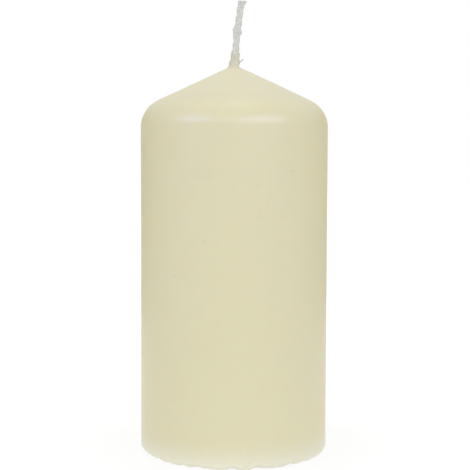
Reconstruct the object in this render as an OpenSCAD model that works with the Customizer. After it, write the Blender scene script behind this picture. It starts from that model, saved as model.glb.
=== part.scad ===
// Pillar candle of solid wax with a crimped base rim and a plaited cotton wick.
// The origin is at the middle of the base, on the surface that the candle stands on.
// Millimetres, Z up, the front towards -Y.

/* [Wax pillar] */
// Diameter of the straight wall
pillar_d = 58; // [50:1:90]
// Height where the slopes of the cone would meet
cone_tip_z = 120; // [90:1:200]
// Slope of the cone against the horizontal, in degrees
cone_slope = 25.2; // [18:0.2:32]
// Radius of the soft shoulder between wall and cone
shoulder_r = 9.2; // [4:0.2:14]
// Radius of the rounded lower edge
base_edge_r = 2; // [1.2:0.1:3]

/* [Wax collar round the foot of the wick] */
// Thickness of the wax round the wick at the collar's top
collar_wall = 0.2; // [0.14:0.02:0.6]
// How much wider the collar is at its foot, all round
collar_foot_flare = 0.3; // [0.2:0.02:0.8]
// Radius of the hollow curve between the cone and the collar
collar_fillet_r = 1.8; // [0.8:0.1:3]
// Height of the collar above the point of the cone
collar_h = 4; // [3:0.5:8]

/* [Crimped rim] */
// Number of notches round the rim
notch_count = 32; // [16:8:40]
// Depth of a notch below the wall
notch_depth = 0.7; // [0.4:0.05:1]
// How far a notch reaches in under the candle
notch_run = 5; // [4:0.5:8]
// Radius of the round tooth that presses a notch
notch_tooth_r = 2.4; // [1.6:0.1:3]
// Share by which deep and shallow notches differ from the mean
notch_spread = 0.22; // [0:0.02:0.4]
// Size of the notches' wander from their even places, in degrees
notch_wander = 1.6; // [0:0.1:2]
// Notches smeared shut, counted to the right from the front
shut_notches = [-1, 2, 9, -13]; // [-20:1:20]

/* [Underside] */
// Width of the flat ring that the candle stands on
foot_ring_w = 8; // [7:0.5:12]
// Depth of the dish inside the ring
dish_depth = 1.6; // [0.8:0.1:3]
// Slope of the dish's side against the horizontal, in degrees
dish_slope = 35; // [20:1:60]

/* [Wick] */
// Diameter of the wick
wick_d = 2.5; // [1.8:0.1:3]
// Room between the wick and its hole, all round
wick_room = 0.05; // [0.03:0.01:0.1]
// Length of bare wick above the collar
wick_bare = 15.8; // [8:0.2:30]
// How deep below the point of the cone the wick starts to lean
lean_depth = 5; // [3:0.5:15]
// Radius of the curve in which the wick leans to the right
lean_r = 142; // [80:1:400]
// Length of wick in which a strand swings once to each side
plait_pitch = 8; // [6:0.5:14]
// Extra swing of the loose right-hand strand at the cut end
end_flare = 0.6; // [0:0.05:0.8]

/* [Hidden] */

// Fineness of the round shapes
round_fn = 96;
lean_fn = 1440;
edge_steps = 6;
shoulder_steps = 14;
fillet_steps = 8;
$fn = round_fn;

// Pillar and cone
pillar_r = pillar_d / 2;
shoulder_mid_r = pillar_r - shoulder_r;
shoulder_mid_z = cone_tip_z - shoulder_mid_r * tan(cone_slope) - shoulder_r / cos(cone_slope);
ring_outer_r = pillar_r - base_edge_r;
ring_inner_r = ring_outer_r - foot_ring_w;
dish_top_r = ring_inner_r - dish_depth / tan(dish_slope);

// Waves, in degrees a notch, by which the notches wander and differ in depth round the rim
wander_wave = 45;
wander_start = -28;
wander_mean = 0.9;
depth_wave = 135;
depth_start = 60;

// Wick hole and collar
wick_r = wick_d / 2;
hole_r = wick_r + wick_room;
collar_top_r = hole_r + collar_wall;
collar_foot_r = collar_top_r + collar_foot_flare;
fillet_mid_r = collar_foot_r + collar_fillet_r;
fillet_mid_z = cone_tip_z - fillet_mid_r * tan(cone_slope) + collar_fillet_r / cos(cone_slope);
foot_taper_h = collar_h / 2;
taper_end_r = hole_r - collar_wall / 2;

// How far a cut runs past the wax
cut_past = 1;

// Heights and lengths along the leaning wick, counted from where the lean starts
lean_z = cone_tip_z - lean_depth;
collar_top_s = lean_depth + collar_h;
wick_end_s = collar_top_s + wick_bare;

// Plait of three strands that just clear each other, with its swings in shares of one strand's radius
strand_count = 3;
side_swing = 1.8;
front_swing = 1.7;
plait_reach = 3.2;
strand_r = wick_r / plait_reach;
strand_sides = 8;
strand_rings = 80;
core_above_collar = 0.3;
strand_root = 0.2;
strand_start_s = collar_top_s + core_above_collar - strand_root;
flare_length = 3.5;
other_flare = 0.45;
end_phase = 48;

function ease(t) = let (u = min(max(t, 0), 1)) u * u * (3 - 2 * u);

function unit(v) = v / norm(v);

// Points of an arc in the outline, as [radius, height]
function arc(mid_r, mid_z, r, from, to, steps) =
    [for (i = [0 : steps]) let (a = from + (to - from) * i / steps) [mid_r + r * cos(a), mid_z + r * sin(a)]];

// Degrees of the leaning curve for a length along it
function lean_angle(s) = s / lean_r * 180 / PI;

// A point beside the wick's middle line, at a length along it
function lean_point(s, side, depth) = let (a = lean_angle(s))
    [lean_r - (lean_r - side) * cos(a), depth, lean_z + (lean_r - side) * sin(a)];

// How far strand k swings sideways: wider near the cut end, most of all on the right-hand strand
function swing(s, k) = side_swing * strand_r
    + end_flare * (k == 0 ? 1 : other_flare) * ease(1 - (wick_end_s - s) / flare_length);

function strand_middle(s, k) =
    let (turn = end_phase + 360 * k / strand_count - 360 * (wick_end_s - s) / plait_pitch)
    lean_point(s, swing(s, k) * sin(turn), front_swing * strand_r * sin(2 * turn));

function strand_ring(s, k) = let (
    step = 0.05,
    along = unit(strand_middle(s + step, k) - strand_middle(s - step, k)),
    side = unit(cross([0, 1, 0], along)),
    front = cross(along, side)
) [for (i = [0 : strand_sides - 1]) let (a = 360 * i / strand_sides)
    strand_middle(s, k) + strand_r * (cos(a) * side + sin(a) * front)];

// Side view of the wax from the axis outwards: dish, ring, lower edge, wall, shoulder, cone and collar foot
module wax_outline() {
    polygon(concat(
        [[0, dish_depth], [dish_top_r, dish_depth], [ring_inner_r, 0]],
        arc(ring_outer_r, base_edge_r, base_edge_r, -90, 0, edge_steps),
        arc(shoulder_mid_r, shoulder_mid_z, shoulder_r, 0, 90 - cone_slope, shoulder_steps),
        arc(fillet_mid_r, fillet_mid_z, collar_fillet_r, 270 - cone_slope, 180, fillet_steps),
        [[taper_end_r, fillet_mid_z + foot_taper_h], [0, fillet_mid_z + foot_taper_h]]
    ));
}

// A round bar along the leaning curve, from the height where the lean starts
module leaning_bar(r, length) {
    translate([lean_r, 0, lean_z])
        rotate([90, 0, 0])
            rotate_extrude(angle = -lean_angle(length), start = 180, $fn = lean_fn)
                translate([lean_r, 0]) circle(r, $fn = round_fn);
}

// The round tooth of one notch: deepest at the wall, and level with the ring where it ends
module notch_tooth(depth) {
    translate([pillar_r - notch_run, 0, -notch_tooth_r])
        rotate([0, 90 - atan(depth / notch_run), 0])
            cylinder(r = notch_tooth_r, h = notch_run + base_edge_r + cut_past);
}

module notches() {
    for (i = [-notch_count / 2 : notch_count / 2 - 1]) {
        wander = notch_wander * (wander_mean + sin(wander_wave * i + wander_start));
        depth = notch_depth * (1 + notch_spread * sin(depth_wave * i + depth_start));
        if (len(search(i, shut_notches)) == 0)
            rotate([0, 0, -90 + 360 * i / notch_count + wander]) notch_tooth(depth);
    }
}

// Solid wax: the pillar with its crimped rim, and the collar that climbs the foot of the wick
module wax_body() {
    color([0.88, 0.86, 0.73])
        difference() {
            union() {
                rotate_extrude() wax_outline();
                leaning_bar(collar_top_r, collar_top_s);
            }
            translate([0, 0, -cut_past]) cylinder(r = hole_r, h = lean_z + cut_past);
            leaning_bar(hole_r, collar_top_s + cut_past);
            notches();
        }
}

// One strand of the plait as a closed tube
module strand(k) {
    points = [for (j = [0 : strand_rings])
        each strand_ring(strand_start_s + (wick_end_s - strand_start_s) * j / strand_rings, k)];
    walls = [for (j = [0 : strand_rings - 1], i = [0 : strand_sides - 1])
        let (a = j * strand_sides + i, b = j * strand_sides + (i + 1) % strand_sides)
        each [[a, a + strand_sides, b], [b, a + strand_sides, b + strand_sides]]];
    first_cap = [for (i = [0 : strand_sides - 1]) i];
    last_cap = [for (i = [strand_sides - 1 : -1 : 0]) strand_rings * strand_sides + i];
    polyhedron(points = points, faces = concat([first_cap], walls, [last_cap]), convexity = 6);
}

// Cotton wick: a round stretch through the wax, and the bare plait above the collar
module wick() {
    color([0.83, 0.83, 0.8]) {
        translate([0, 0, dish_depth]) cylinder(r = wick_r, h = lean_z - dish_depth);
        leaning_bar(wick_r, collar_top_s + core_above_collar);
        for (k = [0 : strand_count - 1]) strand(k);
    }
}

wax_body();
wick();
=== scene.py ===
import math
import random

import bpy
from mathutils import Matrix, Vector, noise


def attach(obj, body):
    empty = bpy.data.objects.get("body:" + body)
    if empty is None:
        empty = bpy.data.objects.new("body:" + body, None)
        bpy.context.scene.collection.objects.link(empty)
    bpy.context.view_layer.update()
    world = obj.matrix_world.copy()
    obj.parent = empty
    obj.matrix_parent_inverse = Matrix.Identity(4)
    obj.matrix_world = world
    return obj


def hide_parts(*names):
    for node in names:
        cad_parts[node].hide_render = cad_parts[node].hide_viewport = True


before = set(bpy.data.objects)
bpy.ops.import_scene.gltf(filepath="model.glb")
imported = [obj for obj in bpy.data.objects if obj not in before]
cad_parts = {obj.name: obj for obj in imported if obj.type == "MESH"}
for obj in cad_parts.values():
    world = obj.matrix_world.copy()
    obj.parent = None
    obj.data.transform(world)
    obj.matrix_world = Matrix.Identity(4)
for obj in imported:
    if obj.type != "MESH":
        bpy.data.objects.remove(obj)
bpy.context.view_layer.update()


# The camera stands level with the upper half of the candle and looks a little down on it.
# The wick leans to its right, and the front of the crimped rim faces it.
mm = 0.001
camera_sensor_width = 36
camera_lens = 86.02
camera_place = (0.31 * mm, -350.4 * mm, 88.6 * mm)
camera_pitch_down = math.radians(3.5)
camera_roll = 0.0033
camera_data = bpy.data.cameras.new("camera")
camera_data.sensor_width = camera_sensor_width
camera_data.lens = camera_lens
camera = bpy.data.objects.new("camera", camera_data)
bpy.context.scene.collection.objects.link(camera)
camera.location = camera_place
camera.rotation_mode = "ZYX"
camera.rotation_euler = (math.pi / 2 - camera_pitch_down, 0, camera_roll)
bpy.context.scene.camera = camera
bpy.context.scene.view_settings.view_transform = "Standard"


# The table under the candle: a plain sheet of white card that keeps the candle's faint shadow.
# The camera and the wax's gloss see it white, dimmed close to the candle by painted shade. It throws its
# light back onto the lower wall, and round the candle it also glows by itself, a painted light on the lower
# wall.
table_size = 8
table_squares = 8
table_z = -0.05 * mm
table_colour = (0.93, 0.93, 0.93, 1)
table_shadow_colour = (0.14, 0.14, 0.14, 1)
# Painted shade: the white the camera sees is dimmed close to the candle, and fades out between these
# distances
table_painted_shade_white = 0.87
table_painted_shade_fade_start = 0.03
table_painted_shade_fade_end = 0.11
# Painted shade in the table's reflection: the white the wax's gloss sees is dimmed close to the candle
mirrored_painted_shade_white = 0.84
mirrored_painted_shade_fade_start = 0.1
mirrored_painted_shade_fade_end = 0.6
# Painted light: the table glows by itself round the candle, though it is no lamp, and lights the lower wall
table_painted_glow_strength = 0.17
table_painted_glow_end = 0.28
table_painted_glow_full = 0.05


def fade(tree, source, start, end, low=0, high=1, curve="SMOOTHSTEP"):
    """A value that runs from a low to a high level while the source runs from a start to an end."""
    step = tree.nodes.new("ShaderNodeMapRange")
    step.interpolation_type = curve
    step.inputs["From Min"].default_value = start
    step.inputs["From Max"].default_value = end
    step.inputs["To Min"].default_value = low
    step.inputs["To Max"].default_value = high
    tree.links.new(source, step.inputs["Value"])
    return step.outputs["Result"]


def feed(tree, source, socket):
    """Links a socket to what feeds it, or sets it to a plain value."""
    if isinstance(source, bpy.types.NodeSocket):
        tree.links.new(source, socket)
    else:
        socket.default_value = source


def calculate(tree, operation, *terms):
    """One sum on numbers."""
    node = tree.nodes.new("ShaderNodeMath")
    node.operation = operation
    for i, term in enumerate(terms):
        feed(tree, term, node.inputs[i])
    return node.outputs["Value"]


def calculate_vector(tree, operation, *terms):
    """One sum on places or colours."""
    node = tree.nodes.new("ShaderNodeVectorMath")
    node.operation = operation
    for i, term in enumerate(terms):
        feed(tree, term, node.inputs[i])
    return node.outputs["Value" if operation == "LENGTH" else "Vector"]


def add_shaders(tree, first, second):
    """Two shaders added up."""
    both = tree.nodes.new("ShaderNodeAddShader")
    tree.links.new(first, both.inputs[0])
    tree.links.new(second, both.inputs[1])
    return both.outputs[0]


def choose_shader(tree, share, first, second):
    """The first shader where the share is 0, and the second where it is 1."""
    mix = tree.nodes.new("ShaderNodeMixShader")
    tree.links.new(share, mix.inputs[0])
    tree.links.new(first, mix.inputs[1])
    tree.links.new(second, mix.inputs[2])
    return mix.outputs[0]


def shown_to(tree):
    """Whether the camera sees a place straight, and whether it sees it at all, mirrored or through glass."""
    path = tree.nodes.new("ShaderNodeLightPath")
    straight = path.outputs["Is Camera Ray"]
    shown = calculate(tree, "MAXIMUM", straight, path.outputs["Is Glossy Ray"])
    shown = calculate(tree, "MAXIMUM", shown, path.outputs["Is Transmission Ray"])
    return straight, shown


bpy.ops.object.select_all(action="DESELECT")
bpy.ops.mesh.primitive_grid_add(
    x_subdivisions=table_squares,
    y_subdivisions=table_squares,
    size=table_size,
    location=(0, 0, table_z),
)
table_top = bpy.context.object
table_top.name = "table_top"
table_paint = bpy.data.materials.new("white_card")
table_paint.use_nodes = True
tree = table_paint.node_tree
tree.nodes.clear()
table_place = tree.nodes.new("ShaderNodeTexCoord").outputs["Object"]
from_candle = calculate_vector(tree, "LENGTH", table_place)
straight, shown = shown_to(tree)

# Painted shade round the candle, to the camera and in the wax's gloss
table_white_with_painted_shade = fade(tree, from_candle, table_painted_shade_fade_start, table_painted_shade_fade_end, table_painted_shade_white)
mirrored_white_with_painted_shade = fade(tree, from_candle, mirrored_painted_shade_fade_start, mirrored_painted_shade_fade_end, mirrored_painted_shade_white)
table_level = tree.nodes.new("ShaderNodeMix")
tree.links.new(straight, table_level.inputs[0])
tree.links.new(mirrored_white_with_painted_shade, table_level.inputs[2])
tree.links.new(table_white_with_painted_shade, table_level.inputs[3])
table_glow = tree.nodes.new("ShaderNodeEmission")
tree.links.new(table_level.outputs[0], table_glow.inputs["Color"])
table_shadow = tree.nodes.new("ShaderNodeBsdfDiffuse")
table_shadow.inputs["Color"].default_value = table_shadow_colour
table_shown = add_shaders(tree, table_glow.outputs[0], table_shadow.outputs[0])

table_card = tree.nodes.new("ShaderNodeBsdfDiffuse")
table_card.inputs["Color"].default_value = table_colour
# Painted light: a glow of the table, strongest close to the candle, that lights the lower wall
table_painted_glow = tree.nodes.new("ShaderNodeEmission")
table_painted_glow.inputs["Strength"].default_value = table_painted_glow_strength
tree.links.new(fade(tree, from_candle, table_painted_glow_end, table_painted_glow_full), table_painted_glow.inputs["Color"])
table_card_and_painted_glow = add_shaders(tree, table_card.outputs[0], table_painted_glow.outputs[0])

table_out = tree.nodes.new("ShaderNodeOutputMaterial")
tree.links.new(choose_shader(tree, shown, table_card_and_painted_glow, table_shown), table_out.inputs["Surface"])
table_top.data.materials.append(table_paint)


# The studio room round the candle, as a world: even pale light from all sides.
# To the camera and in the wax's gloss it is white.
room_strength = 0.52
world = bpy.data.worlds.new("studio")
bpy.context.scene.world = world
world.use_nodes = True
tree = world.node_tree
tree.nodes.clear()
room_light = tree.nodes.new("ShaderNodeBackground")
room_light.inputs["Color"].default_value = (1, 1, 1, 1)
room_light.inputs["Strength"].default_value = room_strength
room_white = tree.nodes.new("ShaderNodeBackground")
room_white.inputs["Color"].default_value = (1, 1, 1, 1)
room_white.inputs["Strength"].default_value = 1
straight, shown = shown_to(tree)
room_seen = choose_shader(tree, shown, room_light.outputs[0], room_white.outputs[0])
world_out = tree.nodes.new("ShaderNodeOutputWorld")
tree.links.new(room_seen, world_out.inputs["Surface"])


# The lamps. A long low strip on each side of the camera lights the wax, and a bluish one in the same place
# is only mirrored, and leaves the gleam along the shoulder. A box hangs overhead, and one stands far behind.
# The plain strips and the box behind aren't mirrored in the wax.
shoulder_level = 105 * mm
strip_distance = 1.2
strip_rise = math.radians(21)
strip_height = 0.46
strips = {
    "left": {"turn": -47, "half_width": 24, "light": 2.03, "gleam": 1.88, "gleam_tint": (0.95, 1.15, 2.9)},
    "right": {"turn": 32.5, "half_width": 29, "light": 2.34, "gleam": 3.05, "gleam_tint": (0.94, 1, 1.8)},
}
plain_tint = (1, 1, 1)
overhead_size = 0.7
overhead_radiance = 1.0
overhead_place = (0, -0.15, 1.2)
behind_width = 0.9
behind_height = 0.5
behind_radiance = 3.6
behind_place = (0, 1.3, 0.32)


def soft_box(name, width, height, radiance, tint, place):
    """An area lamp of this size and radiance, turned to the middle of the candle's shoulder."""
    lamp = bpy.data.lights.new(name, "AREA")
    lamp.shape = "RECTANGLE"
    lamp.size = width
    lamp.size_y = height
    lamp.energy = radiance * math.pi * width * height
    lamp.color = tint
    holder = bpy.data.objects.new(name, lamp)
    bpy.context.scene.collection.objects.link(holder)
    holder.location = place
    holder.rotation_mode = "QUATERNION"
    holder.rotation_quaternion = (Vector((0, 0, shoulder_level)) - Vector(place)).to_track_quat("-Z", "Y")
    holder.visible_camera = False
    return holder


for side, strip in strips.items():
    turn = math.radians(strip["turn"])
    flat = strip_distance * math.cos(strip_rise)
    rise = strip_distance * math.sin(strip_rise)
    place = (flat * math.sin(turn), -flat * math.cos(turn), shoulder_level + rise)
    width = 2 * strip_distance * math.tan(math.radians(strip["half_width"]))
    light = soft_box("strip_" + side, width, strip_height, strip["light"], plain_tint, place)
    light.visible_glossy = False
    gleam = soft_box("gleam_" + side, width, strip_height, strip["gleam"], strip["gleam_tint"], place)
    gleam.visible_diffuse = False
soft_box("overhead", overhead_size, overhead_size, overhead_radiance, plain_tint, overhead_place)
behind = soft_box("behind", behind_width, behind_height, behind_radiance, plain_tint, behind_place)
behind.visible_glossy = False


# Two cream cards that stand on the table behind the candle, one on each side, unseen by the camera.
# The edges of the wax mirror them, and so stand out against the white.
card_w = 340 * mm
card_h = 230 * mm
card_gap = 330 * mm
card_turn = 130
card_squares = 4
card_roughness = 0.9
card_fibre_scale = 180
card_darker = (0.63, 0.58, 0.38)
card_lighter = (0.7, 0.64, 0.42)


def cloud(tree, place, scale, detail):
    """Cloudy noise over a piece."""
    texture = tree.nodes.new("ShaderNodeTexNoise")
    texture.inputs["Scale"].default_value = scale
    texture.inputs["Detail"].default_value = detail
    tree.links.new(place, texture.inputs["Vector"])
    return texture.outputs["Fac"]


def blend_tones(tree, share, first, second):
    """A colour between two tones: the first where the share is 0, the second where it is 1."""
    mix = tree.nodes.new("ShaderNodeMix")
    mix.data_type = "RGBA"
    tree.links.new(share, mix.inputs[0])
    for slot, tone in ((6, first), (7, second)):
        feed(tree, (*tone, 1) if isinstance(tone, tuple) else tone, mix.inputs[slot])
    return mix.outputs[2]


card_paint = bpy.data.materials.new("cream_card")
card_paint.use_nodes = True
tree = card_paint.node_tree
card_shader = tree.nodes["Principled BSDF"]
card_shader.inputs["Roughness"].default_value = card_roughness
card_place = tree.nodes.new("ShaderNodeTexCoord").outputs["Object"]
card_fibres = cloud(tree, card_place, card_fibre_scale, detail=2)
tree.links.new(blend_tones(tree, card_fibres, card_darker, card_lighter), card_shader.inputs["Base Color"])
for side in (-1, 1):
    turn = math.radians(card_turn) * side
    bpy.ops.object.select_all(action="DESELECT")
    bpy.ops.mesh.primitive_grid_add(
        x_subdivisions=card_squares,
        y_subdivisions=card_squares,
        size=1,
        rotation=(math.pi / 2, 0, turn),
    )
    card = bpy.context.object
    card.name = "side_card"
    card.scale = (card_w, card_h, 1)
    card.location = (card_gap * math.sin(turn), -card_gap * math.cos(turn), card_h / 2)
    bpy.ops.object.transform_apply(location=True, rotation=True, scale=True)
    card.data.materials.append(card_paint)
    card.visible_camera = False


# The wax pillar: one piece of solid ivory candle wax, pressed or poured, with a soft shoulder, a low cone
# and a ragged collar of wax that has climbed the wick. A toothed cutter crimped its lower rim. Its dished
# underside was left as the mould made it.
pillar_r = 29 * mm
bore_r = 1.3 * mm
bore_top_z = 112 * mm
bore_tip_rise = 0.3 * mm
closing_r = 0.1 * mm
dish_depth = 1.6 * mm
dish_top_r = 16.7 * mm
foot_inner_r = 19 * mm
foot_outer_r = 27 * mm
base_edge_r = 2 * mm
rim_top_z = 6 * mm
shoulder_r = 9.2 * mm
shoulder_mid_r = pillar_r - shoulder_r
shoulder_mid_z = 100.51 * mm
cone_slope = 25.2
fillet_r = 1.8 * mm
fillet_mid_r = 3.6 * mm
fillet_mid_z = 120.295 * mm
cone_end_r = fillet_mid_r - fillet_r * math.sin(math.radians(cone_slope))
cone_end_z = fillet_mid_z - fillet_r * math.cos(math.radians(cone_slope))
lean_z = 115 * mm
lean_r = 142 * mm
collar_foot_s = fillet_mid_z - lean_z
collar_foot_r = fillet_mid_r - fillet_r
collar_top_s = 9 * mm
collar_top_r = 1.37 * mm
collar_rings = 22
ring_points = 384
hole_edge_margin = 0.001 * mm
wax_merge_gap = 0.000001
wax_smooth_angle = math.radians(50)


def wick_middle(s):
    """A point of the wick's middle line, at a length above the place where it starts to lean."""
    if s < 0:
        return Vector((0, 0, lean_z + s))
    turn = s / lean_r
    return Vector((lean_r * (1 - math.cos(turn)), 0, lean_z + lean_r * math.sin(turn)))


bpy.ops.object.select_all(action="DESELECT")
bpy.ops.mesh.primitive_circle_add(vertices=ring_points, radius=bore_r, location=(0, 0, dish_depth))
bpy.ops.object.transform_apply(location=True, rotation=True, scale=True)
wax = bpy.context.object
wax.name = "wax_pillar"
bpy.ops.object.mode_set(mode="EDIT")
bpy.ops.mesh.select_all(action="SELECT")
ring = {"r": bore_r, "z": dish_depth, "x": 0}


def pull_ring(r, z, x=0):
    """Extrudes the open edge of the wax to a ring of this radius, height and sideways place."""
    bpy.ops.mesh.extrude_region_move(TRANSFORM_OT_translate={"value": (x - ring["x"], 0, z - ring["z"])})
    size = r / ring["r"]
    bpy.ops.transform.resize(value=(size, size, 1), center_override=(x, 0, z))
    ring.update(r=r, z=z, x=x)


def pull_arc(mid_r, mid_z, radius, first, last, steps):
    """Pulls rings round an arc of the outline, from one angle to another, in degrees."""
    for i in range(1, steps + 1):
        turn = math.radians(first + (last - first) * i / steps)
        pull_ring(mid_r + radius * math.cos(turn), mid_z + radius * math.sin(turn))


def pull_line(r, z, steps):
    """Pulls rings along a straight stretch of the outline."""
    first_r, first_z = ring["r"], ring["z"]
    for i in range(1, steps + 1):
        pull_ring(first_r + (r - first_r) * i / steps, first_z + (z - first_z) * i / steps)


pull_line(dish_top_r, dish_depth, steps=8)
pull_line(foot_inner_r, 0, steps=4)
pull_line(foot_outer_r, 0, steps=12)
pull_arc(foot_outer_r, base_edge_r, base_edge_r, -90, 0, steps=10)
pull_line(pillar_r, rim_top_z, steps=12)
pull_line(pillar_r, shoulder_mid_z, steps=44)
pull_arc(shoulder_mid_r, shoulder_mid_z, shoulder_r, 0, 90 - cone_slope, steps=24)
pull_line(cone_end_r, cone_end_z, steps=30)
pull_arc(fillet_mid_r, fillet_mid_z, fillet_r, 270 - cone_slope, 180, steps=8)
for i in range(1, collar_rings + 1):
    share = i / collar_rings
    at = wick_middle(collar_foot_s + (collar_top_s - collar_foot_s) * share)
    foot = (1 - min(share * 2, 1)) ** 2
    pull_ring(collar_top_r + (collar_foot_r - collar_top_r) * foot, at.z, at.x)

# The collar's rounded lip, which closes over the wick: radius and rise of each ring, in millimetres
collar_lip = ((1.3, 0.1), (1.15, 0.14), (0.9, 0.12), (0.5, 0.1), (0.1, 0.1))
for r, rise in collar_lip:
    at = wick_middle(collar_top_s + rise * mm)
    pull_ring(r * mm, at.z, at.x)
bpy.ops.mesh.merge(type="CENTER")


def on_hole_edge(p):
    """Whether a point lies on the edge of the wick's hole."""
    return abs(p.z - dish_depth) < hole_edge_margin and math.hypot(p.x, p.y) < bore_r + hole_edge_margin


# The wick's hole, which the wax closes where the wick goes into the cone
bpy.ops.mesh.select_all(action="DESELECT")
bpy.ops.object.mode_set(mode="OBJECT")
for edge in wax.data.edges:
    edge.select = all(on_hole_edge(wax.data.vertices[i].co) for i in edge.vertices)
bpy.ops.object.mode_set(mode="EDIT")
ring = {"r": bore_r, "z": dish_depth, "x": 0}
pull_line(bore_r, bore_top_z, steps=3)
pull_ring(closing_r, bore_top_z + bore_tip_rise)
bpy.ops.mesh.merge(type="CENTER")
bpy.ops.mesh.select_all(action="SELECT")
bpy.ops.mesh.remove_doubles(threshold=wax_merge_gap)
bpy.ops.mesh.normals_make_consistent(inside=False)
bpy.ops.object.mode_set(mode="OBJECT")

# Crimps of the lower rim, as the angle to the right of the front in degrees and the depth in millimetres.
# Those at the back keep an even spacing, wander a little and differ in depth, and two are smeared shut.
crimps = [
    (-83, 0.2), (-53.3, 0.52), (-43.5, 0.3), (-32.3, 0.44), (-22.8, 0.52), (-15.5, 0.24), (-0.5, 0.68),
    (14.3, 0.72), (20.5, 0.3), (38.2, 0.58), (48.5, 0.26), (60, 0.12), (69, 0.08), (78.7, 0.15),
]
crimp_places = 32
back_crimps = range(8, 26)
shut_crimps = (9, 19)
back_crimp_depth = 0.4
back_crimp_spread = 0.3
crimp_wander = 1.6
wander_mean = 0.9
wander_wave = 45
wander_start = -28
depth_wave = 135
depth_start = 60
for i in back_crimps:
    if i not in shut_crimps:
        wander = crimp_wander * (wander_mean + math.sin(math.radians(wander_wave * i + wander_start)))
        uneven = 1 + back_crimp_spread * math.sin(math.radians(depth_wave * i + depth_start))
        crimps.append((360 * i / crimp_places + wander, back_crimp_depth * uneven))
crimp_half_width = 3.1
crimp_fade = 3
crimp_height = 3.2 * mm
crimp_run = 6 * mm
crimp_draw = 0.25
crimp_draw_r = 26 * mm
crimp_draw_run = 3 * mm
rim_inner_r = 20 * mm
rim_unevenness = 0.05 * mm
rim_unevenness_scale = 9
rim_noise_level = 3
worn_place = -66
worn_width = 10.5
worn_depth = 0.4 * mm


def angle_between(a, b):
    """The angle from one direction to another, in degrees, from -180 to 180."""
    return (a - b + 180) % 360 - 180


def soft_step(value):
    """A smooth step from 0 to 1 as the value goes from 0 to 1."""
    value = min(max(value, 0), 1)
    return value * value * (3 - 2 * value)


def rim_lift(angle):
    """How far the crimps, the worn stretch and some unevenness lift the rim at an angle."""
    lift = 0
    for place, depth in crimps:
        away = angle_between(angle, place) / crimp_half_width
        if abs(away) < crimp_fade:
            lift += depth * mm * math.exp(-away * away)
    away = angle_between(angle, worn_place) / worn_width
    lift += worn_depth * math.exp(-away * away * away * away)
    round_place = Vector((math.sin(math.radians(angle)), math.cos(math.radians(angle)), rim_noise_level))
    return lift + rim_unevenness * noise.noise(round_place * rim_unevenness_scale)


def crimp_rim(v, r):
    """Lifts a point of the rim into its crimp, and draws the wall in a little above a deep one."""
    lift = rim_lift(math.degrees(math.atan2(v.co.x, -v.co.y)))
    reach_in = soft_step((r - (pillar_r - crimp_run)) / crimp_run)
    reach_up = soft_step(1 - v.co.z / crimp_height)
    v.co.z = max(v.co.z + lift * reach_in * reach_up, 0)
    draw = 1 - crimp_draw * max(lift, 0) * reach_up * soft_step((r - crimp_draw_r) / crimp_draw_run) / r
    v.co.x *= draw
    v.co.y *= draw


# Faint hollows of the wall, which fade out towards the shoulder
hollow_depth = 0.03 * mm
hollow_level = 0.6
hollow_scale = 45
hollow_stretch = 0.6
hollow_fade_z = 96 * mm
hollow_fade_run = 8 * mm


def hollow_wall(v, r):
    """Sinks a point of the wall into a faint hollow."""
    x, y, z = v.co
    swell = hollow_depth * (noise.noise(Vector((x, y, z * hollow_stretch)) * hollow_scale) - hollow_level)
    swell = min(swell, 0) * soft_step(1 - (z - hollow_fade_z) / hollow_fade_run)
    v.co.x *= 1 + swell / r
    v.co.y *= 1 + swell / r


# The collar: ridges and lumps where the wax follows the plait, a waist low on its right side, a slimmer left
# side with a small burr, and a ragged top that lies lower on the right. Heights and depths without a unit
# are in millimetres.
collar_z = 117.5 * mm
collar_reach = 5 * mm
ridge_depth = 0.05
ridge_count = 3
ridge_slant = 0.8
fine_ridge_depth = 0.03
fine_ridge_count = 7
fine_ridge_slant = 1.3
fine_ridge_start = 1
lump_height = 0.1
lump_scale = 900
fine_lump_height = 0.06
fine_lump_scale = 2300
climb_s = 4.6 * mm
climb_run = 1.2 * mm
collar_core_r = 1.1 * mm
collar_skin = 0.2 * mm
waist_z = 119.45 * mm
waist_length = 0.8 * mm
waist_depth = 0.58
slim_z = 120.8 * mm
slim_length = 1.3 * mm
slim_depth = 0.14
burr_z = 120.75 * mm
burr_length = 0.42 * mm
burr_depth = 0.36
burr_rise = 0.3 * mm
burr_sharpness = 14
burr_turn = 0.15
rag_height = 0.5
rag_scale = 1.7
rag_noise_level = 0.4
fine_rag_height = 0.25
fine_rag_scale = 5
fine_rag_noise_level = 2.2
rag_lower_right = 0.55
rag_s = 7 * mm
rag_run = 2 * mm


def round_noise(turn, scale, level):
    """Noise that runs once round the collar and closes."""
    return noise.noise(Vector((math.cos(turn) * scale, math.sin(turn) * scale, level)))


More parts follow.
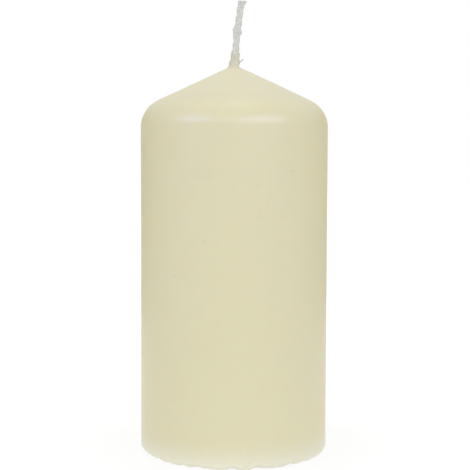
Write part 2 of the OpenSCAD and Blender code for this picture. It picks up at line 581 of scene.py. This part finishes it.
def shape_collar(v):
    """Moves a point of the collar to where the ragged wax has it."""
    x, y, z = v.co
    s = z - lean_z
    at = wick_middle(s)
    out = Vector((x - at.x, y, 0))
    turn = math.atan2(out.y, out.x)
    ridges = ridge_depth * math.sin(ridge_count * turn + s / mm * ridge_slant)
    fine_turn = fine_ridge_count * turn - s / mm * fine_ridge_slant + fine_ridge_start
    ridges += fine_ridge_depth * math.sin(fine_turn)
    lumps = lump_height * noise.noise(Vector((x, y, z)) * lump_scale)
    lumps += fine_lump_height * noise.noise(Vector((x, y, z)) * fine_lump_scale)
    climb = soft_step((s - climb_s) / climb_run)
    outer = soft_step((out.length - collar_core_r) / collar_skin)
    v.co += out.normalized() * (ridges + lumps) * mm * climb * outer
    to_right = max(math.cos(turn), 0) ** 2
    to_left = max(-math.cos(turn + burr_turn), 0)
    waist = math.exp(-((z - waist_z) / waist_length) ** 2) * to_right
    slim = math.exp(-((z - slim_z) / slim_length) ** 2) * to_left
    burr = math.exp(-((z - burr_z) / burr_length) ** 2) * to_left ** burr_sharpness
    v.co += out.normalized() * (burr_depth * burr - waist_depth * waist - slim_depth * slim) * mm
    v.co.z += burr_rise * burr
    rags = round_noise(turn, rag_scale, rag_noise_level) * rag_height
    rags += round_noise(turn, fine_rag_scale, fine_rag_noise_level) * fine_rag_height
    rags -= rag_lower_right * to_right
    v.co.z += rags * mm * soft_step((s - rag_s) / rag_run)


for v in wax.data.vertices:
    r = math.hypot(v.co.x, v.co.y)
    if v.co.z < rim_top_z and r > rim_inner_r:
        crimp_rim(v, r)
    elif r > rim_inner_r:
        hollow_wall(v, r)
    elif v.co.z > collar_z and r < collar_reach:
        shape_collar(v)

bpy.ops.object.select_all(action="DESELECT")
wax.select_set(True)
bpy.context.view_layer.objects.active = wax
bpy.ops.object.shade_smooth_by_angle(angle=wax_smooth_angle)


def scale_tone(tree, tone, share):
    """A colour times a share."""
    node = tree.nodes.new("ShaderNodeVectorMath")
    node.operation = "SCALE"
    tree.links.new(tone, node.inputs[0])
    tree.links.new(share, node.inputs["Scale"])
    return node.outputs["Vector"]


def bump(tree, height, strength, distance):
    """The small relief of a surface."""
    node = tree.nodes.new("ShaderNodeBump")
    node.inputs["Strength"].default_value = strength
    node.inputs["Distance"].default_value = distance
    tree.links.new(height, node.inputs["Height"])
    return node.outputs["Normal"]


# Ivory wax, slightly translucent. It is paler at the rim, a painted light as from the white table below,
# and paler on the cone, a painted light as from above. It is greyer on the collar, partly painted shade in
# the hollow at the collar's foot, and its thin top lets the cotton show through.
wax_subsurface = 0.85
wax_subsurface_radius = (1.0, 0.85, 0.6)
wax_subsurface_scale = 0.0024
wax_darker = (0.717, 0.681, 0.474)
wax_lighter = (0.725, 0.69, 0.486)
wax_cloud_scale = 28
# Painted light: the rim is paler low down, as if lit by the white table below
rim_painted_light_tone = (0.77, 0.755, 0.63)
rim_painted_light_end_z = 9 * mm
# Painted light: the cone is paler, as if lit from above
cone_painted_light_tone = (0.79, 0.75, 0.535)
cone_painted_light_from_z = 101 * mm
cone_painted_light_full_z = 113 * mm
# Partly painted shade: greyer over the hollow fillet at the collar's foot, and on the collar's own wax
collar_grey_and_fillet_shade_tone = (0.62, 0.605, 0.5)
collar_grey_and_fillet_shade_from_z = 117.6 * mm
collar_grey_and_fillet_shade_full_z = 120.7 * mm
film_tone = (0.625, 0.62, 0.565)
film_tone_from_z = 121.8 * mm
film_tone_full_z = 123.8 * mm
wax_paint = bpy.data.materials.new("ivory_wax")
wax_paint.use_nodes = True
tree = wax_paint.node_tree
wax_shader = tree.nodes["Principled BSDF"]
wax_shader.inputs["Subsurface Weight"].default_value = wax_subsurface
wax_shader.inputs["Subsurface Radius"].default_value = wax_subsurface_radius
wax_shader.inputs["Subsurface Scale"].default_value = wax_subsurface_scale
wax_place = tree.nodes.new("ShaderNodeTexCoord").outputs["Object"]
wax_split = tree.nodes.new("ShaderNodeSeparateXYZ")
tree.links.new(wax_place, wax_split.inputs[0])
wax_z = wax_split.outputs["Z"]
wax_tone = blend_tones(tree, cloud(tree, wax_place, wax_cloud_scale, detail=1), wax_darker, wax_lighter)
for start_z, end_z, tone in (
    (rim_painted_light_end_z, 0, rim_painted_light_tone),
    (cone_painted_light_from_z, cone_painted_light_full_z, cone_painted_light_tone),
    (collar_grey_and_fillet_shade_from_z, collar_grey_and_fillet_shade_full_z, collar_grey_and_fillet_shade_tone),
    (film_tone_from_z, film_tone_full_z, film_tone),
):
    wax_tone = blend_tones(tree, fade(tree, wax_z, start_z, end_z), wax_tone, tone)

# The wall and the shoulder have a soft sheen, the shoulder most, and the cone is dull
wall_roughness = 0.36
wall_sheen_end_z = 97 * mm
shoulder_roughness = 0.289
shoulder_sheen_z = 102 * mm
cone_dullness = 0.3
cone_dull_from_z = 103.5 * mm
cone_dull_full_z = 110 * mm
sheen_spot = 0.008
sheen_spot_scale = 120
roughness = fade(tree, wax_z, wall_sheen_end_z, shoulder_sheen_z, wall_roughness, shoulder_roughness)
cone_dull = fade(tree, wax_z, cone_dull_from_z, cone_dull_full_z, 0, cone_dullness)
sheen_spots = cloud(tree, wax_place, sheen_spot_scale, detail=4)
sheen_spots = fade(tree, sheen_spots, 0, 1, -sheen_spot, sheen_spot, "LINEAR")
roughness = calculate(tree, "ADD", calculate(tree, "ADD", roughness, cone_dull), sheen_spots)
tree.links.new(roughness, wax_shader.inputs["Roughness"])

# Tiny knocks, scratches and a faint rub mark on the front, as place, half width, half height and depth,
# and pinholes scattered all round. The places and sizes are in millimetres. All are dents, and their colour
# is darker too: painted shade in the pinholes, knocks and scratches, and the rub mark's own smudge.
knocks = [
    ((17, -23.5, 87.2), 1.8, 0.45, 1),
    ((7, -28.1, 82.8), 0.85, 0.65, 0.8),
    ((7.6, -28, 75.4), 1.7, 0.35, 0.6),
    ((7.9, -27.9, 74), 1.5, 0.4, 0.6),
    ((14.5, -25.1, 73.7), 1.0, 0.4, 0.5),
    ((23.2, -17.4, 73.3), 0.7, 0.6, 0.5),
    ((-8.6, -27.7, 66.7), 0.8, 0.8, 0.8),
    ((-17.4, -23.2, 56.4), 1.1, 0.8, 1),
    ((-22.2, -18.7, 48.8), 0.8, 0.6, 0.6),
    ((-22.1, -18.8, 8.5), 0.7, 0.6, 0.4),
    ((-15.3, -24.6, 21), 0.7, 0.7, 0.5),
    ((-8, -27.9, 87), 6.5, 3, 0.25),
]
knock_edge = 1.15
knock_floor = 0.2
pinhole_scale = 75
pinhole_edge = 0.045
pinhole_floor = 0.015
grain_scale = 700
mark_depth = 1.5
# Painted shade in the dents, and the rub mark's smudge: how much the marks darken the wax's colour
mark_shade_and_smudge_tone = 0.95
wax_relief = 0.25
wax_relief_height = 0.04 * mm
pinholes = tree.nodes.new("ShaderNodeTexVoronoi")
pinholes.inputs["Scale"].default_value = pinhole_scale
tree.links.new(wax_place, pinholes.inputs["Vector"])
marks = fade(tree, pinholes.outputs["Distance"], pinhole_edge, pinhole_floor)
for place, half_w, half_h, depth in knocks:
    from_knock = calculate_vector(tree, "SUBTRACT", wax_place, Vector(place) * mm)
    knock_size = Vector((half_w, max(half_w, half_h), half_h)) * mm
    from_knock = calculate_vector(tree, "LENGTH", calculate_vector(tree, "DIVIDE", from_knock, knock_size))
    knock = fade(tree, from_knock, knock_edge, knock_floor, 0, depth)
    marks = calculate(tree, "MAXIMUM", marks, knock)
wax_grain = cloud(tree, wax_place, grain_scale, detail=4)
wax_height = calculate(tree, "MULTIPLY_ADD", marks, -mark_depth, wax_grain)
tree.links.new(bump(tree, wax_height, wax_relief, wax_relief_height), wax_shader.inputs["Normal"])
# The wax's colour darkened by painted shade in the dents and by the rub mark's smudge
shaded_and_smudged_tone = scale_tone(tree, wax_tone, fade(tree, marks, 0, 1, 1, mark_shade_and_smudge_tone, "LINEAR"))
tree.links.new(shaded_and_smudged_tone, wax_shader.inputs["Base Color"])
wax.data.materials.append(wax_paint)
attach(wax, "root")
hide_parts("wax_body")


# The wick: one cord plaited from three soft cotton strands, each a bundle of fine yarns. It runs up through
# the wax, leans to the right and ends in a scissor cut, where the yarns have sprung apart.
cut_z = 139.55 * mm
wick_end_s = 24.8 * mm
plait_start_s = 7.4 * mm
plait_pitch = 8 * mm
end_phase = math.radians(48)
side_swing = 0.48 * mm
front_swing = 0.26 * mm
strand_count = 3
strand_half_w = 0.66 * mm
strand_half_d = 0.58 * mm
strand_rings = 150
strand_end_gap = 0.06 * mm
strand_end_width = 0.98
strand_taper_length = 1.3 * mm
yarn_count = 11
yarn_points = 8
yarn_groove = 0.05 * mm
yarn_unevenness = 0.055 * mm
yarn_lump_scale = 260
yarn_noise_step = 3.1
strand_noise_step = 17
yarn_r = 0.15 * mm
yarn_twist = math.radians(9) / mm
strand_offset_turn = 0.7
flare_length = 2.4 * mm
strand_merge_gap = 0.000002
wick_merge_gap = 0.0000005
wick_smooth_angle = math.radians(60)

# How far each strand springs aside at the cut end, to the right, in millimetres
spring_aside = (0.62, -0.12, 0.08)

# Thick and thin places on the two sides of the plait, as the extra width, the place along the wick and the
# length to each side, in millimetres. The thick place lies a little higher on the left.
right_swells = ((0.36, 14.9, 0.75), (-0.1, 20.6, 2), (-0.1, 12, 1.2))
left_swells = ((0.66, 15.35, 0.8), (-0.2, 20.2, 1.8), (-0.17, 12, 1.2))
strand_swell_share = 0.6


def wick_swell(s, side):
    """How wide the plait is here, against its usual width."""
    width = 1
    for extra, place, length in right_swells if side > 0 else left_swells:
        width += extra * math.exp(-(((s / mm) - place) / length) ** 2)
    return width


def strand_middle(s, k):
    """Side and front offsets of a strand's middle."""
    turn = end_phase + 2 * math.pi * k / strand_count - 2 * math.pi * (wick_end_s - s) / plait_pitch
    across = side_swing * math.sin(turn)
    width = wick_swell(s, across)
    spring = soft_step(1 - (wick_end_s - s) / flare_length)
    aside = spring_aside[k] * spring * spring * mm
    return across * width + aside, front_swing * math.sin(2 * turn) * width


def wick_point(s, side, front):
    """A point beside the wick's middle line."""
    at = wick_middle(s)
    turn = max(s, 0) / lean_r
    return at + Vector((math.cos(turn), 0, -math.sin(turn))) * side + Vector((0, front, 0))


def yarn_turn(s, k, j):
    """The angle round a strand at which one of its yarns lies."""
    return 2 * math.pi * j / yarn_count + strand_offset_turn * k + yarn_twist * s


def spin_yarn(points, radius, sides=2, tip=0.7):
    """A soft round yarn along these points, with closed ends, thinner just at its tips."""
    path = bpy.data.curves.new("yarn", "CURVE")
    path.dimensions = "3D"
    path.bevel_depth = radius
    path.bevel_resolution = sides
    path.use_fill_caps = True
    line = path.splines.new("POLY")
    line.points.add(len(points) - 1)
    for i, p in enumerate(points):
        line.points[i].co = (p.x, p.y, p.z, 1)
        line.points[i].radius = tip if i in (0, len(points) - 1) else 1
    piece = bpy.data.objects.new("yarn", path)
    bpy.context.scene.collection.objects.link(piece)
    return piece


def plait_strand(k, first_s, last_s, rings, end_width):
    """One strand as a fluted bar, whose flutes are its yarns, bent along its path through the plait."""
    bpy.ops.object.select_all(action="DESELECT")
    bpy.ops.mesh.primitive_grid_add(x_subdivisions=yarn_count * yarn_points, y_subdivisions=rings, size=2)
    strand = bpy.context.object
    strand.name = "strand"
    for v in strand.data.vertices:
        place = (v.co.x + 1) / 2 * yarn_count
        s = first_s + (last_s - first_s) * (v.co.y + 1) / 2
        lobe = math.floor(place + 0.5)
        off = (place - lobe) * 2
        across, front = strand_middle(s, k)
        yarn_row = (lobe % yarn_count) * yarn_noise_step + k * strand_noise_step
        full = noise.noise(Vector((s * yarn_lump_scale, yarn_row, 1)))
        groove = yarn_groove * (1 - math.sqrt(max(1 - off * off, 0))) - yarn_unevenness * full
        taper = 1 - (1 - end_width) * soft_step(1 - (last_s - s) / strand_taper_length)
        taper *= 1 + strand_swell_share * (wick_swell(s, across) - 1)
        turn = yarn_turn(s, k, place)
        v.co = wick_point(
            s,
            across + (strand_half_w * taper - groove) * math.cos(turn),
            front + (strand_half_d * taper - groove) * math.sin(turn),
        )
    bpy.ops.object.mode_set(mode="EDIT")
    bpy.ops.mesh.select_all(action="SELECT")
    bpy.ops.mesh.remove_doubles(threshold=strand_merge_gap)
    bpy.ops.mesh.fill_holes(sides=0)
    bpy.ops.mesh.normals_make_consistent(inside=False)
    bpy.ops.object.mode_set(mode="OBJECT")
    return strand


# At the cut each strand ends in separate yarns, some of them inside it. All are cut off almost level, at a
# height that a few steps along the strand find.
inner_yarns = 5
inner_yarn_turn = 2.2
inner_reach = 0.45
cut_yarn_length = 2.4 * mm
cut_yarn_steps = 14
cut_yarn_sprung = 1.5 * mm
cut_yarn_inset = 0.9
cut_yarn_spread = 0.16
cut_unevenness = 0.06
yarn_size_range = (0.9, 1.12)
cut_steps = 3
dice = random.Random(7)
yarns = []
for k in range(strand_count):
    cut_s = wick_end_s
    for step in range(cut_steps):
        across, front = strand_middle(cut_s, k)
        cut_s += cut_z - wick_point(cut_s, across, front).z
    yarns.append(plait_strand(k, plait_start_s, cut_s - strand_end_gap, strand_rings, strand_end_width))
    for j in range(yarn_count + inner_yarns):
        inner = j >= yarn_count
        spread = dice.uniform(0, cut_yarn_spread)
        tip_s = cut_s + dice.uniform(-cut_unevenness, cut_unevenness) * mm
        points = []
        for i in range(cut_yarn_steps + 1):
            s = tip_s - cut_yarn_length * (1 - i / cut_yarn_steps)
            across, front = strand_middle(s, k)
            spring = 1 + spread * soft_step(1 - (tip_s - s) / cut_yarn_sprung)
            reach = (inner_reach if inner else 1) * spring
            turn = yarn_turn(s, k, j * inner_yarn_turn if inner else j)
            points.append(wick_point(
                s,
                across + (strand_half_w - cut_yarn_inset * yarn_r) * reach * math.cos(turn),
                front + (strand_half_d - cut_yarn_inset * yarn_r) * reach * math.sin(turn),
            ))
        yarns.append(spin_yarn(points, yarn_r * dice.uniform(*yarn_size_range)))

# A yarn that has come loose and lies down the right side near the top. Its start and its steps are a length
# along the wick, a distance to the right and one to the back, in millimetres.
slack_yarn_r = 0.17 * mm
slack_start = (22.6, 0.62, -0.25)
slack_step = (-0.29, 0.05, -0.02)
slack_points = 9
points = []
for i in range(slack_points):
    s, side, front = (start + step * i for start, step in zip(slack_start, slack_step))
    points.append(wick_point(s * mm, side * mm, front * mm))
yarns.append(spin_yarn(points, slack_yarn_r))

# A loose end of a few fine threads that sticks out over the collar
loose_start = Vector((0.9, -0.35, 120.5)) * mm
loose_bend = Vector((1.85, -0.6, 120.8)) * mm
loose_end = Vector((2.68, -0.7, 121.75)) * mm
loose_threads = 5
loose_thread_r = 0.19 * mm
loose_steps = 10
loose_spread = 0.1
loose_bend_share = 0.5
for i in range(loose_threads):
    side = Vector((dice.uniform(-1, 1), dice.uniform(-1, 1), dice.uniform(-1, 1))) * loose_spread * mm
    bend = loose_bend + side * loose_bend_share
    end = loose_end + side
    points = []
    for n in range(loose_steps + 1):
        u = n / loose_steps
        points.append(loose_start * (1 - u) ** 2 + bend * 2 * u * (1 - u) + end * u * u)
    yarns.append(spin_yarn(points, loose_thread_r, sides=1, tip=0.5))

# Fine cotton fibres that stand off the plait, closest together at the cut end
fibre_count = 190
cut_fibre_count = 70
cut_fibre_range = (23.2, 24.7)
other_fibre_range = (9.3, 24.5)
fibre_length_range = (0.35, 1.0)
fibre_stand_range = (0.1, 0.45)
fibre_bend = 0.5
fibre_r_range = (0.012, 0.02)
fibre_start_w = 1.02 * mm
fibre_start_d = 0.86 * mm
cut_fibre_flare = 0.3 * mm
cut_fibre_run = 1.5 * mm
fibre_rise = 0.8
fibre_steps = 5
fibre_top_z = 140 * mm
for i in range(fibre_count):
    near_cut = i < cut_fibre_count
    s = dice.uniform(*(cut_fibre_range if near_cut else other_fibre_range)) * mm
    round_turn = dice.uniform(0, 2 * math.pi)
    width = wick_swell(s, math.cos(round_turn))
    across = fibre_start_w * width * math.cos(round_turn)
    front = fibre_start_d * width * math.sin(round_turn)
    if near_cut:
        across += cut_fibre_flare * (s - cut_fibre_range[0] * mm) / cut_fibre_run
    up = dice.choice((-1, 1)) if not near_cut else 1
    length = dice.uniform(*fibre_length_range) * mm
    stand = dice.uniform(*fibre_stand_range)
    bend = dice.uniform(-fibre_bend, fibre_bend)
    points = []
    for n in range(fibre_steps + 1):
        u = n / fibre_steps
        away = 1 + stand * u * length / mm
        drift = bend * u * u * length
        points.append(wick_point(
            s + up * u * length * fibre_rise,
            across * away - drift * math.sin(round_turn),
            front * away + drift * math.cos(round_turn),
        ))
    if max(p.z for p in points) < fibre_top_z:
        yarns.append(spin_yarn(points, dice.uniform(*fibre_r_range) * mm, sides=0, tip=0.4))

# The plaited end seen in the hole of the underside, cut a little unevenly
stub_top_z = 7 * mm
stub_rings = 40
stub_inset = 0.05
stub_unevenness = 0.07
for k in range(strand_count):
    stub_z = dish_depth + (stub_inset + stub_unevenness * k) * mm
    yarns.append(plait_strand(k, stub_z - lean_z, stub_top_z - lean_z, stub_rings, 1))

bpy.ops.object.select_all(action="DESELECT")
for yarn in yarns:
    yarn.select_set(True)
wick = yarns[0]
bpy.context.view_layer.objects.active = wick
bpy.ops.object.convert(target="MESH")
bpy.ops.object.join()
bpy.ops.object.mode_set(mode="EDIT")
bpy.ops.mesh.select_all(action="SELECT")
bpy.ops.mesh.remove_doubles(threshold=wick_merge_gap)
bpy.ops.object.mode_set(mode="OBJECT")
wick.name = "wick_plait"
wick.data.name = "wick_plait"
bpy.ops.object.transform_apply(location=True, rotation=True, scale=True)
bpy.ops.object.shade_smooth_by_angle(angle=wick_smooth_angle)

# Dry unbleached cotton. Wax has soaked into the foot of the bare wick, which is paler there, a painted light
# that lifts the shade just above the collar, and the fresh cut is a little paler.
cotton_roughness = 0.85
cotton_gloss = 0.3
cotton_sheen = 0.3
cotton_sheen_roughness = 0.5
cotton_cloud_scale = 600
cotton_darker = (0.646, 0.655, 0.625)
cotton_lighter = (0.684, 0.693, 0.662)
# Partly painted light: the wax-soaked foot of the bare wick is paler, which lifts the shade above the collar
soaked_and_painted_light_tone = (0.70, 0.71, 0.66)
soaked_painted_light_end_z = 127 * mm
soaked_painted_light_full_z = 123.4 * mm
cut_tone = (0.675, 0.682, 0.65)
cut_tone_from_z = 137.4 * mm
cut_tone_full_z = 138.8 * mm
cotton = bpy.data.materials.new("wick_cotton")
cotton.use_nodes = True
tree = cotton.node_tree
cotton_shader = tree.nodes["Principled BSDF"]
cotton_shader.inputs["Roughness"].default_value = cotton_roughness
cotton_shader.inputs["Specular IOR Level"].default_value = cotton_gloss
cotton_shader.inputs["Sheen Weight"].default_value = cotton_sheen
cotton_shader.inputs["Sheen Roughness"].default_value = cotton_sheen_roughness
cotton_places = tree.nodes.new("ShaderNodeTexCoord")
cotton_place = cotton_places.outputs["Object"]
cotton_split = tree.nodes.new("ShaderNodeSeparateXYZ")
tree.links.new(cotton_place, cotton_split.inputs[0])
cotton_z = cotton_split.outputs["Z"]
cotton_cloud = cloud(tree, cotton_place, cotton_cloud_scale, detail=2)
cotton_tone = blend_tones(tree, cotton_cloud, cotton_darker, cotton_lighter)

# Fibres run along each yarn with a slight slant, from its spinning
fibre_slant_turn = math.radians(2.5)
fibre_stretch = (0.008, 0.04, 1)
fibre_roughness = 0.6
fibre_noise_low = 0.3
fibre_noise_high = 0.7
fibre_dark = 0.95
fibre_bright = 1.03
fibre_relief = 0.4
fibre_relief_height = 0.03 * mm
fibre_slant = tree.nodes.new("ShaderNodeMapping")
fibre_slant.vector_type = "TEXTURE"
fibre_slant.inputs["Rotation"].default_value = (0, 0, fibre_slant_turn)
fibre_slant.inputs["Scale"].default_value = fibre_stretch
tree.links.new(cotton_places.outputs["UV"], fibre_slant.inputs["Vector"])
fibres = tree.nodes.new("ShaderNodeTexNoise")
fibres.noise_dimensions = "2D"
fibres.inputs["Scale"].default_value = 1
fibres.inputs["Detail"].default_value = 3
fibres.inputs["Roughness"].default_value = fibre_roughness
tree.links.new(fibre_slant.outputs["Vector"], fibres.inputs["Vector"])
fibre_shade = fade(
    tree, fibres.outputs["Fac"], fibre_noise_low, fibre_noise_high, fibre_dark, fibre_bright, "LINEAR"
)
cotton_tone = scale_tone(tree, cotton_tone, fibre_shade)
# Painted light and soaked wax: paler at the foot of the bare wick
soaked_painted_light = fade(tree, cotton_z, soaked_painted_light_end_z, soaked_painted_light_full_z)
cotton_tone = blend_tones(tree, soaked_painted_light, cotton_tone, soaked_and_painted_light_tone)
near_cut = fade(tree, cotton_z, cut_tone_from_z, cut_tone_full_z)
cotton_tone = blend_tones(tree, near_cut, cotton_tone, cut_tone)
fibre_bump = bump(tree, fibres.outputs["Fac"], fibre_relief, fibre_relief_height)
tree.links.new(fibre_bump, cotton_shader.inputs["Normal"])
tree.links.new(cotton_tone, cotton_shader.inputs["Base Color"])
wick.data.materials.append(cotton)
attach(wick, "root")
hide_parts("wick")
